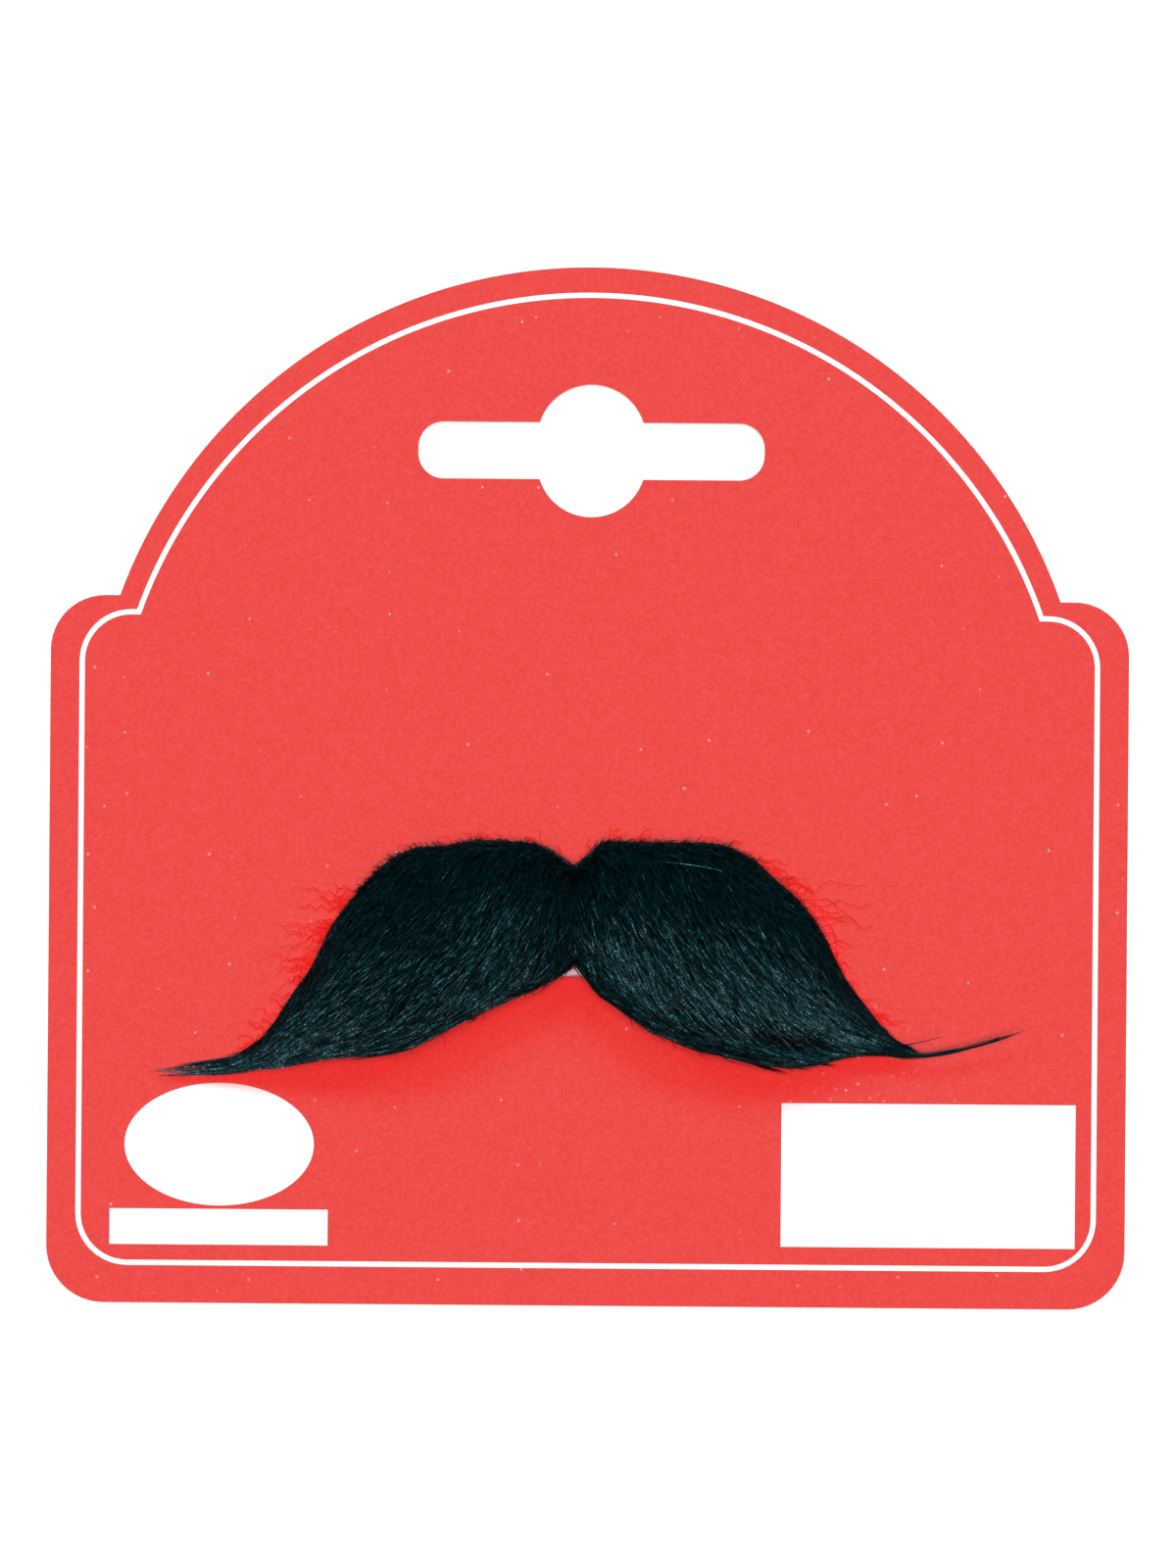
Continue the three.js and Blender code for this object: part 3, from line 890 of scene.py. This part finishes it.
def strand_mesh(name, paths, radius, shade, seed):
    """Joins tapering tubes along paths (strands, rings, 3) into one mesh."""
    random = np.random.default_rng(seed)
    count, rings, _ = paths.shape
    ahead = np.gradient(paths, axis=1)
    ahead /= np.linalg.norm(ahead, axis=2, keepdims=True) + 1e-12
    across = np.cross(ahead, (0, 0, 1))
    across /= np.linalg.norm(across, axis=2, keepdims=True) + 1e-12
    over = np.cross(across, ahead)
    roll = random.uniform(0, 2 * np.pi, count)[:, None] + np.arange(sides)[None] * 2 * np.pi / sides
    roll = roll[:, None, :, None]
    ring = np.cos(roll) * across[:, :, None] + np.sin(roll) * over[:, :, None]
    tube = paths[:, :, None] + ring * radius[:, :, None, None]
    points = np.concatenate([tube[:, :-1].reshape(count, -1, 3), paths[:, -1:]], 1)
    per_strand = points.shape[1]

    corner, place = [], []
    for step in range(rings - 2):
        here, ahead_ring = step * sides, (step + 1) * sides
        for side in range(sides):
            after = (side + 1) % sides
            corner += [here + side, here + after, ahead_ring + after, ahead_ring + side]
            place += [(0, step), (1, step), (1, step + 1), (0, step + 1)]
    quads = len(corner) // 4
    last_ring = (rings - 2) * sides
    for side in range(sides):
        after = (side + 1) % sides
        corner += [last_ring + side, last_ring + after, per_strand - 1]
        place += [(0, rings - 2), (1, rings - 2), (0.5, rings - 1)]
    corner += [2, 1, 0]
    place += [(0, 0), (1, 0), (0.5, 0.3)]
    sizes = np.tile([4] * quads + [3] * (sides + 1), count)
    corners = (np.array(corner)[None] + per_strand * np.arange(count)[:, None]).ravel()

    data = bpy.data.meshes.new(name)
    data.vertices.add(count * per_strand)
    data.vertices.foreach_set("co", points.ravel())
    data.loops.add(len(corners))
    data.loops.foreach_set("vertex_index", corners)
    data.polygons.add(len(sizes))
    data.polygons.foreach_set("loop_start", np.concatenate([[0], np.cumsum(sizes)[:-1]]))
    data.polygons.foreach_set("use_smooth", np.ones(len(sizes), bool))
    data.update(calc_edges=True)
    data.validate()
    place = np.array(place, float)
    share = place[None, :, 1] / (rings - 1)
    paleness_with_painted_light = shade[:, None] * np.interp(share, painted_shade_along[:, 0], painted_shade_along[:, 1])
    u = paleness_with_painted_light * (1 - shade_width) + place[None, :, 0] * shade_width
    span = np.linalg.norm(np.diff(paths, axis=1), axis=2).sum(1) / map_length
    v = (random.uniform(0, 1, count) * (1 - span))[:, None] + span[:, None] * share
    layer = data.uv_layers.new(name="OFBake")
    layer.data.foreach_set("uv", np.stack([u, v], 2).ravel())
    return data


print("sides of a strand", sides)

# %% [markdown]
# ## The finish of the hair
#
# Synthetic hair is nearly black and its highlights are cold, a blue-green. The fibre is crimped, so a
# highlight is never a long line: it breaks up into short glints where a crimp turns to the light. Here these
# glints are painted highlights in the hair's colour. A noise along the strand switches them on and off, and
# a second noise through the whole piece dims them in some places, as neighbouring hairs turn together.
# Paler strands get painted glints, the dark ones stay black.

# %% Black hair with painted glints
def black_hair_painted_glints():
    """Black hair with short glints painted into its colour, from the strand map."""
    material, nodes, links, shader = finish("black hair with painted glints", (0.002, 0.014, 0.017), 0.35, 0.15)
    shader.inputs["Specular Tint"].default_value = (0.15, 0.9, 1.0, 1)
    strand = nodes.new("ShaderNodeUVMap")
    strand.uv_map = "OFBake"
    split = nodes.new("ShaderNodeSeparateXYZ")
    links.new(strand.outputs["UV"], split.inputs["Vector"])
    # The palest stops are painted highlight colours, a cold blue-green.
    shade = ramp(nodes, links, split.outputs["X"], [
        (0.0, (0.0002, 0.0025, 0.0035)), (0.25, (0.001, 0.011, 0.015)), (0.5, (0.009, 0.046, 0.06)),
        (0.75, (0.06, 0.19, 0.235)), (1.0, (0.24, 0.58, 0.67)),
    ])
    # The crimp noise switches painted glints on and off in the colour.
    crimp = nodes.new("ShaderNodeTexNoise")
    crimp.noise_dimensions = "1D"
    crimp.inputs["Scale"].default_value = 90
    crimp.inputs["Detail"].default_value = 1
    links.new(split.outputs["Y"], crimp.inputs["W"])
    painted_glints = ramp(nodes, links, crimp.outputs["Fac"], [(0.46, (0.16, 0.16, 0.16)), (0.56, (1, 1, 1))])
    # Painted highlight: a noise through space dims the painted glints in patches.
    neighbours = noise(nodes, links, object_place(nodes), 2600, detail=0)
    painted_sparkle = ramp(nodes, links, neighbours.outputs["Fac"], [(0.4, (0.35, 0.35, 0.35)), (0.65, (1, 1, 1))])
    colour = multiply(nodes, links, shade.outputs["Color"], painted_glints.outputs["Color"])
    colour = multiply(nodes, links, colour, painted_sparkle.outputs["Color"])
    links.new(colour, shader.inputs["Base Color"])
    return material


hair_finish = black_hair_painted_glints()
print("hair finish ready")

# %% [markdown]
# ## Two coats of hair on each wing
#
# The under coat has long strands and fills the form. The top coat is shorter, lies on the surface and has
# the paler strands. Their roots are scattered evenly over the wing, and a tenth of them crowd into a narrow
# band at its upper edge, which keeps that edge dense.

# %% Scatter the roots
edge_crowd = 0.1
edge_band = 0.03


def scatter(wing, count, random, low=0.01, high=0.995, start=-0.018, stop=0.92):
    """Roots spread evenly over the wing, as shares, and thicker along its upper edge."""
    along = random.uniform(start, stop, count * 4)
    tall = smooth_curve(along, wing.edges, 1) - smooth_curve(along, wing.edges, 2)
    along = along[random.uniform(0, 1, count * 4) < tall][:count]
    up = random.uniform(low, high, len(along))
    at_edge = random.uniform(0, 1, len(along)) < edge_crowd
    return along, np.where(at_edge, high - edge_band * random.uniform(0, 1, len(along)), up)


fold_along, fold_length = 0.61, 0.1
fold_up, fold_width = 0.13, 0.05


def fold(wing, along, up):
    """The fold over the right wing's lower lock, where the hair sinks and gets painted shade: 1 in its
    middle, 0 away from it.
    """
    if wing is left_wing:
        return np.zeros_like(along)
    return np.exp(-(((along - fold_along) / fold_length) ** 2) - ((up - fold_up) / fold_width) ** 2)


print("share of roots at the edge", edge_crowd)

# %% [markdown]
# ## Growing a coat
#
# Each root gets a length, a reach along the wing and a level in the coat, all by chance. Strands near each
# other bunch a little towards a common guide strand, which gives the surface its fine grain of locks. How
# pale a strand is follows the wing's tables: they paint highlight towards the lower edge and the tip, and
# shade towards the upper edge and in the fold. Here and there one strand is painted paler still, as a
# painted highlight.

# %% Grow the coats
strand_radius = 0.048 * mm
reach_scatter = 0.03
tip_growth = 0.8
growth_start = 0.5
growth_blend = 0.3
stray_angle = 7
overhang = 0.2 * mm
guide_count = 300
wave_height = 0.1 * mm
least_height = 0.1 * mm
fold_sink = 0.5
painted_fold_shade = 0.4
painted_glint_share = 0.05
painted_glint_gain = 0.35
# Columns: share from root to tip, share of the strand's radius
coat_taper = np.array([(0, 0.8), (0.3, 1), (0.75, 0.85), (1, 0.2)])


def coat(wing, name, count, rings, seed, length, layer, bunch, pale):
    """Grows one coat. length: range in mm. layer: a root's share of its level, then the range of levels."""
    random = np.random.default_rng(seed)
    along, up = scatter(wing, count, random)
    first, spread, last = wing.ends
    reach = first + random.exponential(spread, len(along))
    reach = np.minimum(reach, last - random.uniform(0, reach_scatter, len(along)))
    along, up, reach = np.stack([along, up, reach])[:, along < reach]
    count = len(along)
    longer = 1 + tip_growth * np.clip((along - growth_start) / growth_blend, 0, 1)
    lengths = random.uniform(*length, count) * mm * longer
    x, y = comb(wing, along, up, lengths, random.normal(0, stray_angle, count), seed)
    x, y = trim(wing, x, y, random.exponential(overhang, count), reach, rings)

    guide_along, guide_up = scatter(wing, guide_count, random)
    near = ((along[:, None] - guide_along) * wing.length) ** 2 + ((up[:, None] - guide_up) * wing.height) ** 2
    guide = near.argmin(1)
    shift = random.normal(0, 1, (len(guide_along), 2))
    rise = np.linspace(0, 1, rings)[None]
    x += bunch * mm * shift[guide, 0][:, None] * rise**2
    y += bunch * mm * shift[guide, 1][:, None] * rise**2

    share_along, share_up = to_shares(wing, x, y)
    surface = hair_height(wing, share_along, share_up) * (1 - fold_sink * fold(wing, share_along, share_up))
    level = random.uniform(*layer[1:], count)[:, None]
    foot = hair_foot(wing, share_along)
    z = foot + surface * (level * layer[0] + level * (1 - layer[0]) * rise**0.8)
    waves, phase = random.uniform(3, 8, count)[:, None], random.uniform(0, 6, count)[:, None]
    z = np.maximum(z + wave_height * np.sin(rise * waves + phase), foot + least_height)
    paths = np.stack([x, y, z], 2)
    thick = strand_radius * random.uniform(0.75, 1.25, count)[:, None]
    radius = thick * np.interp(rise, coat_taper[:, 0], coat_taper[:, 1])
    middle_along, middle_up = share_along[:, rings // 2], share_up[:, rings // 2]
    # Painted light: strands are painted paler towards the lower edge and the tip, darker towards the upper
    # edge.
    painted_shine = smooth_curve(np.clip(middle_up, 0, 1), wing.painted_shine_across, 1)
    painted_shine *= smooth_curve(middle_along, wing.painted_shine_along, 1)
    # Painted shade darkens the strands in the fold.
    painted_shine *= 1 - painted_fold_shade * fold(wing, middle_along, middle_up)
    # A few strands at random are painted paler in colour, as painted highlights.
    painted_glint_strands = random.uniform(0, 1, count) < painted_glint_share
    shade = painted_shine * (0.3 + 0.7 * random.uniform(0, 1, count) ** pale) + painted_glint_gain * painted_glint_strands
    return strand_mesh(name, paths, np.broadcast_to(radius, paths.shape[:2]), np.clip(shade, 0, 1), seed)


coats = {
    "under_hair": {
        "count": 6200, "rings": 6, "length": (6, 9), "layer": (0.4, 0.6, 0.9), "bunch": 0.12, "pale": 2.5,
    },
    "top_hair": {
        "count": 8300, "rings": 5, "length": (2, 4.2), "layer": (0.7, 0.92, 1.08), "bunch": 0.06, "pale": 2.2,
    },
}
for wing, side_name in [(left_wing, "left"), (right_wing, "right")]:
    for number, (coat_name, settings) in enumerate(coats.items()):
        name = f"{side_name}_{coat_name}"
        grown = coat(wing, name, seed=10 * number + 5 + wing.side, **settings)
        add_piece(name, grown, [hair_finish], "hair", f"{side_name}_wing")

# %% [markdown]
# ## Bundles at the tips
#
# Beyond the right tip the hair runs out in one thin twisted curl, and below the fold a few locks end in
# spikes. A bundle of this kind follows a short route: its strands lie side by side, draw together towards
# the end, and each one stops a little before or after the others.

# %% Grow the bundles
# Columns: share along the bundle, share of its width and of a strand's radius
bundle_narrowing = np.array([(0, 1), (0.4, 0.45), (1, 0.2)])
curl_taper = np.array([(0, 1), (0.6, 0.9), (1, 0.3)])
spike_taper = np.array([(0, 1), (0.6, 0.9), (1, 0.2)])
twist_share = 0.3


def bundle(route, count, rings, width, shortest, random):
    """Strands along a route. Columns of route: share, x, y, height over the card (mm)."""
    route = np.array(route)
    share = np.linspace(0, 1, rings)[None] * random.uniform(shortest, 1, count)[:, None]
    paths = np.stack([smooth_curve(share, route, column) * mm for column in (1, 2, 3)], 2)
    paths[:, :, 2] += card_high.z
    narrow = np.interp(share, bundle_narrowing[:, 0], bundle_narrowing[:, 1])[:, :, None]
    apart = random.normal(0, width * mm, (count, 1, 3)) * narrow
    start = random.uniform(0, 2 * np.pi, (count, 1, 3))
    twist = start + share[:, :, None] * random.uniform(4, 10, (count, 1, 3))
    return paths + apart + twist_share * width * mm * np.sin(twist)


curl_route = [
    (0, 21.5, -20.2, 2.8), (0.2, 25.5, -22.7, 2.4), (0.38, 29.2, -24.5, 2.0), (0.56, 32.6, -24.4, 1.9),
    (0.77, 36.6, -23.4, 2.0), (1, 41.0, -21.9, 2.3),
]
stray_route = [(0, 26.6, -23.6, 1.6), (0.4, 29.2, -23.6, 1.7), (0.7, 30.9, -23.3, 1.8), (1, 33.0, -22.8, 2.0)]
spike_routes = [
    [(0, 10.0, -23.2, 2.8), (0.5, 14.4, -25.0, 2.0), (1, 19.3, -26.8, 1.0)],
    [(0, 12.0, -23.5, 2.8), (0.5, 16.4, -25.1, 2.0), (1, 21.0, -26.1, 1.0)],
    [(0, 15.0, -23.9, 2.6), (0.5, 19.0, -25.0, 1.8), (1, 23.4, -25.7, 1.0)],
    [(0, 8.4, -22.6, 2.8), (0.5, 12.6, -24.5, 2.2), (1, 16.8, -26.0, 1.4)],
]
random = np.random.default_rng(71)
curl_rings = 26
curl_strand = 0.05 * mm
curl_paths = np.concatenate([
    bundle(curl_route, 20, curl_rings, 0.27, 0.85, random),
    bundle(stray_route, 3, curl_rings, 0.1, 0.7, random),
])
curl_radius = curl_strand * np.interp(np.linspace(0, 1, curl_rings), curl_taper[:, 0], curl_taper[:, 1])[None]
curl_radius = np.broadcast_to(curl_radius, curl_paths.shape[:2])
curl_mesh = strand_mesh("right_curl", curl_paths, curl_radius, np.full(len(curl_paths), 0.25), 7)
add_piece("right_curl", curl_mesh, [hair_finish], "hair", "right_wing")
spike_rings = 12
spike_paths = np.concatenate([bundle(route, 24, spike_rings, 0.26, 0.7, random) for route in spike_routes])
spike_radius = np.interp(np.linspace(0, 1, spike_rings), spike_taper[:, 0], spike_taper[:, 1])[None]
spike_radius = np.broadcast_to(strand_radius * spike_radius, spike_paths.shape[:2])
spike_shade = 0.7 * random.uniform(0, 1, len(spike_paths)) ** 2 + 0.2
spike_mesh = strand_mesh("right_spikes", spike_paths, spike_radius, spike_shade, 8)
add_piece("right_spikes", spike_mesh, [hair_finish], "hair", "right_wing")

# %% [markdown]
# ## Loose hairs
#
# No false moustache is tidy at its edges. Short crimped hairs stand off the upper edges in small tufts, and
# wisps stray over the card beside the outer edges. The two tables say where they grow, how many and how
# long. Each hair wanders: its heading swings from side to side as it grows.

# %% Where loose hairs grow and how they wander
def wander(x, y, heading, length, rings, crimp, swing, random):
    """Crimped paths from the given places. crimp is a wavelength, swing an angle. Returns x and y."""
    count = len(x)
    place = np.linspace(0, 1, rings)[None] * length[:, None]
    rate = 2 * np.pi / (crimp * random.uniform(0.7, 1.5, (2, count, 1)))
    phase = random.uniform(0, 2 * np.pi, (2, count, 1))
    turned = swing * (np.sin(rate[0] * place + phase[0]) + 0.6 * np.sin(1.7 * rate[1] * place + phase[1]))
    angle = heading[:, None] + turned
    step = (length / (rings - 1))[:, None]
    xs = x[:, None] + np.cumsum(np.cos(angle) * step, 1) - np.cos(angle[:, :1]) * step
    ys = y[:, None] + np.cumsum(np.sin(angle) * step, 1) - np.sin(angle[:, :1]) * step
    return xs, ys


# Columns: wing, along from and to, up from and to, count, hairs in a tuft, length from and to (mm), turn
# outward (degrees), crimp (mm), swing (radians), thickness (share of a strand's)
loose_patches = [
    (left_wing, -0.01, 0.5, 0.96, 1.0, 420, 5, 0.3, 0.9, 6, 1.2, 0.7, 0.8),
    (left_wing, 0.45, 0.74, 0.96, 1.0, 220, 5, 0.3, 0.7, 4, 1.4, 0.7, 0.7),
    (left_wing, 0.47, 0.72, 0.99, 1.01, 8, 2, 0.6, 1.6, 2, 1.4, 0.8, 0.8),
    (left_wing, 0.0, 0.25, 0.0, 0.02, 160, 5, 0.4, 1.1, 0, 1.5, 0.4, 0.6),
    (left_wing, 0.25, 0.6, 0.0, 0.03, 30, 1, 0.6, 1.4, 0, 2.0, 0.3, 0.6),
    (right_wing, -0.01, 0.45, 0.94, 1.0, 480, 5, 0.3, 0.9, 4, 1.2, 0.7, 0.8),
    (right_wing, 0.4, 0.8, 0.95, 1.0, 320, 5, 0.3, 0.7, 4, 1.4, 0.6, 0.7),
    (right_wing, 0.45, 0.75, 0.99, 1.01, 8, 2, 0.6, 1.6, 15, 2.0, 0.6, 0.45),
    (right_wing, 0.15, 0.6, 0.0, 0.03, 50, 1, 0.6, 1.5, 0, 2.0, 0.3, 0.6),
]
wisp_patches = [
    (left_wing, 0.5, 0.74, 0.99, 1.02, 60, 1, 1.2, 4.0, 45, 1.6, 0.9, 1.2),
    (left_wing, 0.52, 0.62, 0.99, 1.02, 14, 1, 3.5, 6.5, 50, 1.8, 0.7, 1.0),
    (left_wing, 0.0, 0.5, 0.99, 1.0, 30, 1, 0.8, 1.8, 25, 1.6, 0.8, 0.9),
    (right_wing, 0.5, 0.82, 0.99, 1.02, 50, 1, 1.2, 4.0, 30, 2.2, 0.7, 1.1),
    (right_wing, 0.5, 0.65, 0.99, 1.02, 12, 1, 5.0, 9.0, 20, 3.2, 0.5, 1.0),
    (right_wing, 0.0, 0.55, 0.99, 1.0, 40, 1, 0.8, 2.2, 25, 1.6, 0.8, 0.9),
]
print("patches", len(loose_patches), "of loose hairs,", len(wisp_patches), "of wisps")

# %% [markdown]
# ## Growing the loose hairs
#
# Loose hairs start at the height of the wing's surface. Wisps lie almost on the card. Their red finish is
# painted shadow: they are coloured as the thin red shadow lines that fine strays throw on the card, with a
# faint painted red glow.

# %% Grow the loose hairs
loose_rings = 12
tuft_width = 0.004
heading_scatter = 22
lowest = 0.15 * mm
# Columns: share from root to tip, share of the strand's radius
loose_taper = np.array([(0, 1), (0.7, 0.9), (1, 0.4)])
painted_wisp_glow = 0.06


def loose_hairs(wing, name, patches, lift, seed):
    """One wing's loose hairs as one mesh. lift is how high they lie, a share of the hair's height."""
    random = np.random.default_rng(seed)
    paths, radius = [], []
    for patch_wing, start, stop, low, high, count, tuft, short, long, outward, crimp, swing, fine in patches:
        if patch_wing is not wing:
            continue
        member = random.integers(0, count // tuft, count) if tuft > 1 else np.arange(count)
        along = random.uniform(start, stop, count)[member] + random.normal(0, tuft_width, count)
        up = random.uniform(low, high, count)
        x, y = to_place(wing, along, up)
        edge_x, edge_y = outline_direction(wing, along, up)
        turned = outward + random.normal(0, heading_scatter, count)
        heading = np.arctan2(edge_y, edge_x) + wing.side * np.radians(turned)
        length = random.uniform(short, long, count) * mm
        x, y = wander(x, y, heading, length, loose_rings, crimp * mm, swing, random)
        height = hair_height(wing, along, np.clip(up, 0.05, 0.95)) * random.uniform(0.5, 1.3, count)
        rise = np.linspace(0, 1, loose_rings)[None]
        over_card = hair_base - card_high.z + height[:, None] * (1 - 0.3 * rise)
        z = card_high.z + np.maximum(over_card * lift, lowest)
        paths.append(np.stack([x, y, z], 2))
        radius.append(strand_radius * fine * random.uniform(0.7, 1.2, count))
    paths, radius = np.concatenate(paths), np.concatenate(radius)
    taper = np.interp(np.linspace(0, 1, loose_rings), loose_taper[:, 0], loose_taper[:, 1])[None]
    shade = 0.2 + 0.6 * random.uniform(0, 1, len(paths)) ** 2
    return strand_mesh(name, paths, radius[:, None] * taper, shade, seed)


def wisp_painted_shadow_and_glow():
    """Fine strays coloured as the red shadow lines they throw on the card, a painted shadow, with a faint
    painted red glow.
    """
    material, nodes, links, shader = finish("wisp hair with painted shadow", (0.88, 0.024, 0.016), 0.7, 0.05)
    # Painted light: a faint red glow, though the wisps are no lamp.
    shader.inputs["Emission Color"].default_value = (1, 0, 0, 1)
    shader.inputs["Emission Strength"].default_value = painted_wisp_glow
    crimp = noise(nodes, links, object_place(nodes), 900)
    # Painted shadow: darker red than the card, as the shadow lines of fine strays.
    tone = ramp(nodes, links, crimp.outputs["Fac"], [
        (0.3, (0.85, 0.018, 0.012)), (0.7, (0.92, 0.03, 0.022)),
    ])
    links.new(tone.outputs["Color"], shader.inputs["Base Color"])
    return material


# Columns: kind, patches, material, lift, seed
loose_kinds = [
    ("loose_hair", loose_patches, hair_finish, 1.0, 40),
    ("wisps", wisp_patches, wisp_painted_shadow_and_glow(), 0.1, 60),
]
for wing, side_name in [(left_wing, "left"), (right_wing, "right")]:
    for kind, patches, material, lift, seed in loose_kinds:
        name = f"{side_name}_{kind}"
        hairs = loose_hairs(wing, name, patches, lift, seed + wing.side)
        add_piece(name, hairs, [material], "hair", f"{side_name}_wing")

# %% [markdown]
# ## A pale thread
#
# One pale thread of the backing has come loose and lies across the right wing. It is a single strand with
# its own route, so the same tube builder makes it.

# %% Lay the thread
thread_rings = 20
thread_radius = 0.04 * mm
thread_paleness = 0.95
# Columns: share, x, y, height over the card (mm)
thread_route = np.array([
    (0, 4.2, -7.15, 4.2), (0.3, 6.6, -6.88, 5.0), (0.6, 9.2, -7.08, 5.4), (0.85, 11.2, -7.4, 5.4),
    (1, 12.5, -7.7, 5.4),
])
thread_share = np.linspace(0, 1, thread_rings)[None]
thread_path = np.stack([smooth_curve(thread_share, thread_route, column) * mm for column in (1, 2, 3)], 2)
thread_path[:, :, 2] += card_high.z
thread_widths = np.full((1, thread_rings), thread_radius)
thread_mesh = strand_mesh("backing_thread", thread_path, thread_widths, np.array([thread_paleness]), 9)
add_piece("backing_thread", thread_mesh, [hair_finish], "hair", "right_wing")
